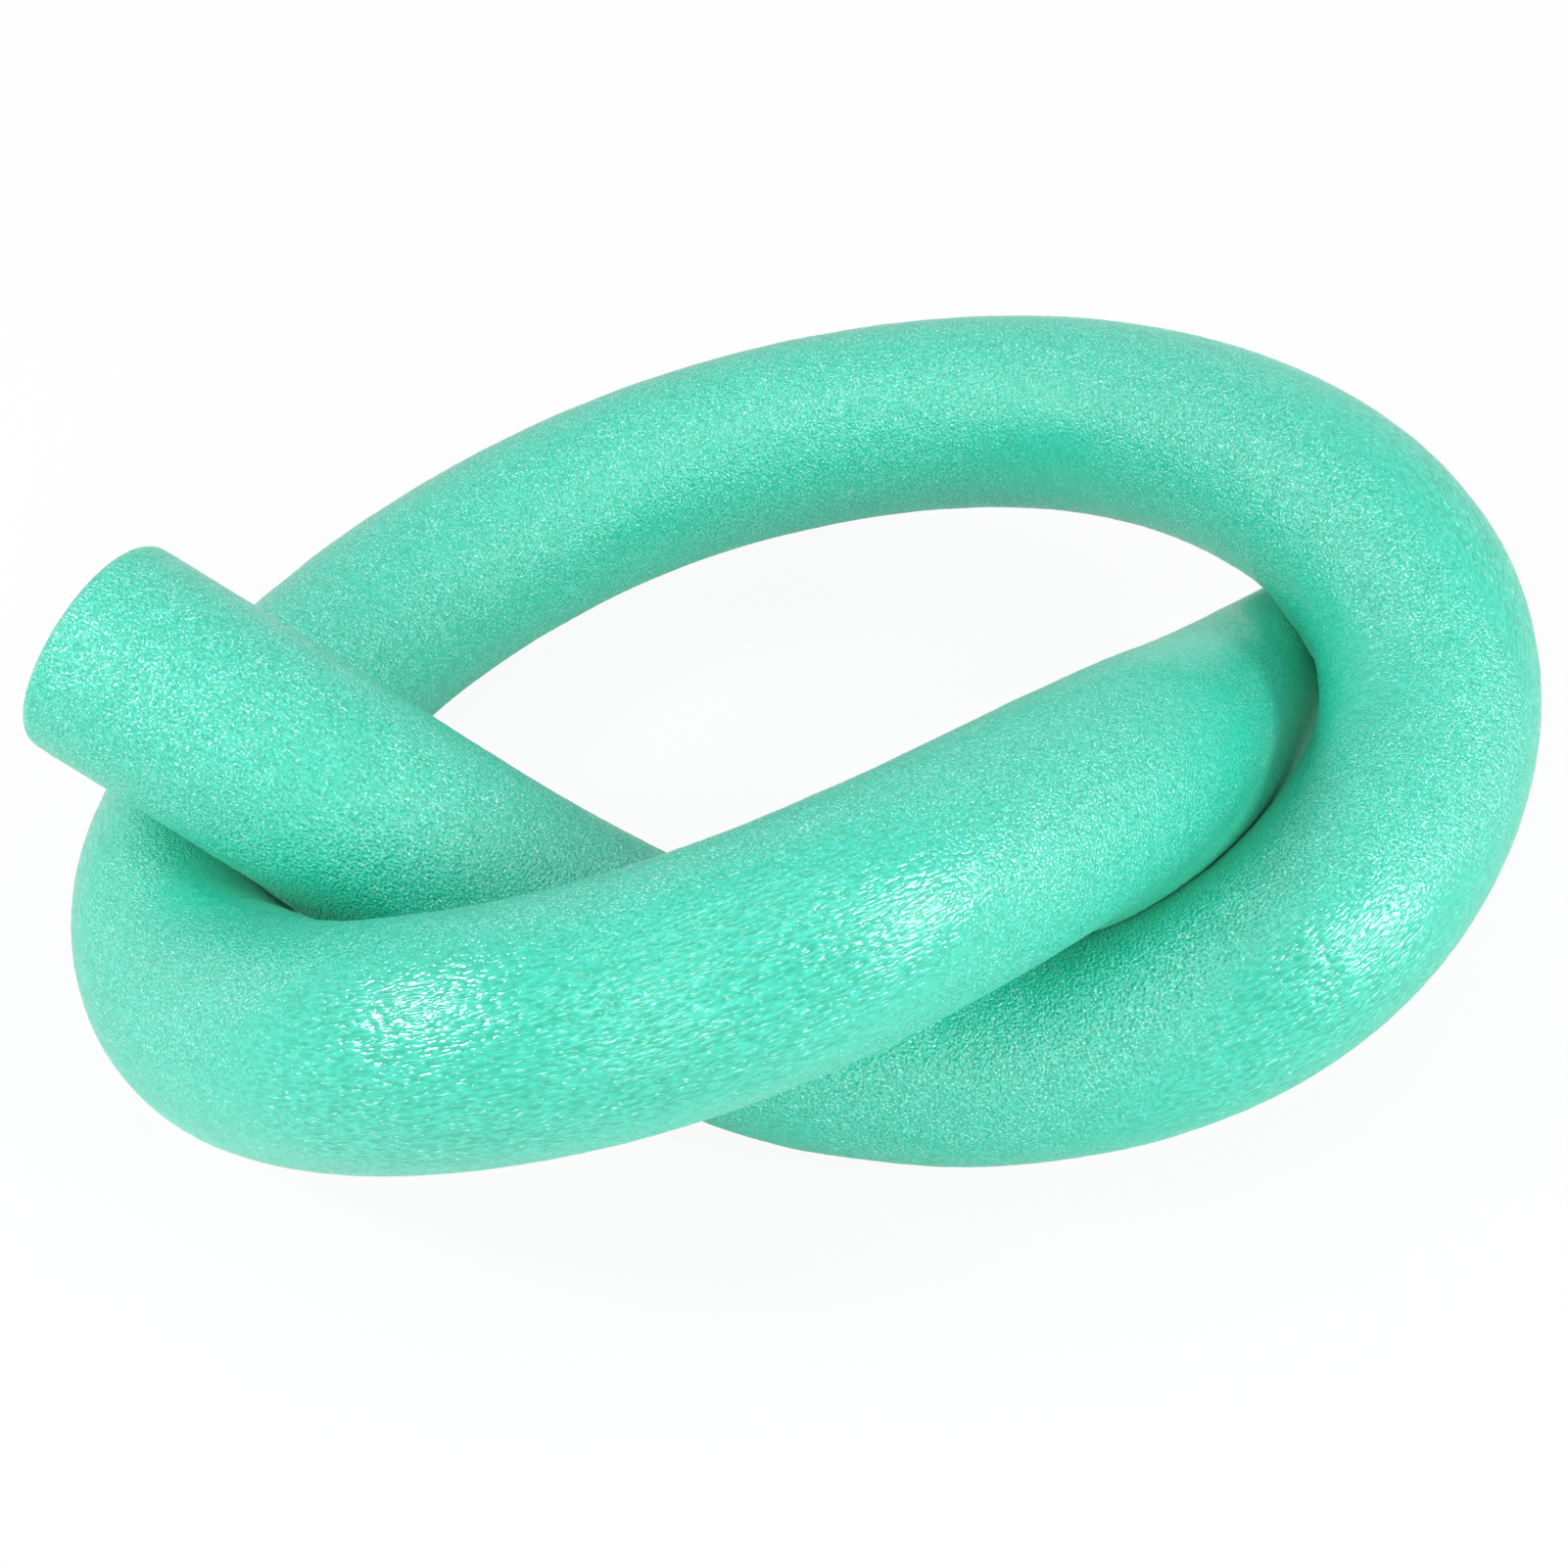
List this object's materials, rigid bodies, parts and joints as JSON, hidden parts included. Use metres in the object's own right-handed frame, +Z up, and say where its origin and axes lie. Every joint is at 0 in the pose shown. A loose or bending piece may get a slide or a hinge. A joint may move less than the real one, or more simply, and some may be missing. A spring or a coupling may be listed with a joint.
{
  "type": "pool noodle",
  "caption": "Round foam swimming float with a bore, tied in a loose overhand knot; its two ends flex and spring back.",
  "frame": {"origin": "centre of the knot's box, on the floor that it lies on", "axes": "+X along the knot's longest side, from the free end towards the tucked end; +Y away from the viewer; +Z up"},
  "size_m": [0.4343, 0.389, 0.1463],
  "materials": {
    "foam": "closed-cell polyethylene foam, pebbled extruded skin with a soft sparkle"
  },
  "bodies": {
    "knot": {"lower_run": "foam", "lower_right_bend": "foam", "right_bend": "foam", "back_right_bend": "foam", "back_arc": "foam", "back_left_bend": "foam", "left_bend": "foam", "front_left_bend": "foam", "front_run": "foam", "front_run_dip": "foam"},
    "free_end": {"free_end": "foam"},
    "free_tip": {"free_tip": "foam"},
    "tucked_end": {"tucked_end": "foam"}
  },
  "joints": [
    {"name": "free_end_lift", "type": "hinge", "parent": "knot", "child": "free_end", "pos_m": [-0.02669, -0.0879, 0.03783], "axis": [0.2365, 0.9716, 0], "range_deg": [0, 30], "stiffness_Nm_per_rad": 0.6},
    {"name": "free_tip_swing", "type": "hinge", "parent": "free_end", "child": "free_tip", "pos_m": [-0.12097, -0.06628, 0.07929], "axis": [0.4508, -0.1098, 0.8859], "range_deg": [-25, 5], "stiffness_Nm_per_rad": 0.6},
    {"name": "tucked_end_swing", "type": "hinge", "parent": "knot", "child": "tucked_end", "pos_m": [0.11234, 0.00707, 0.06218], "axis": [0, 0, 1], "range_deg": [-3, 15], "stiffness_Nm_per_rad": 0.6}
  ]
}
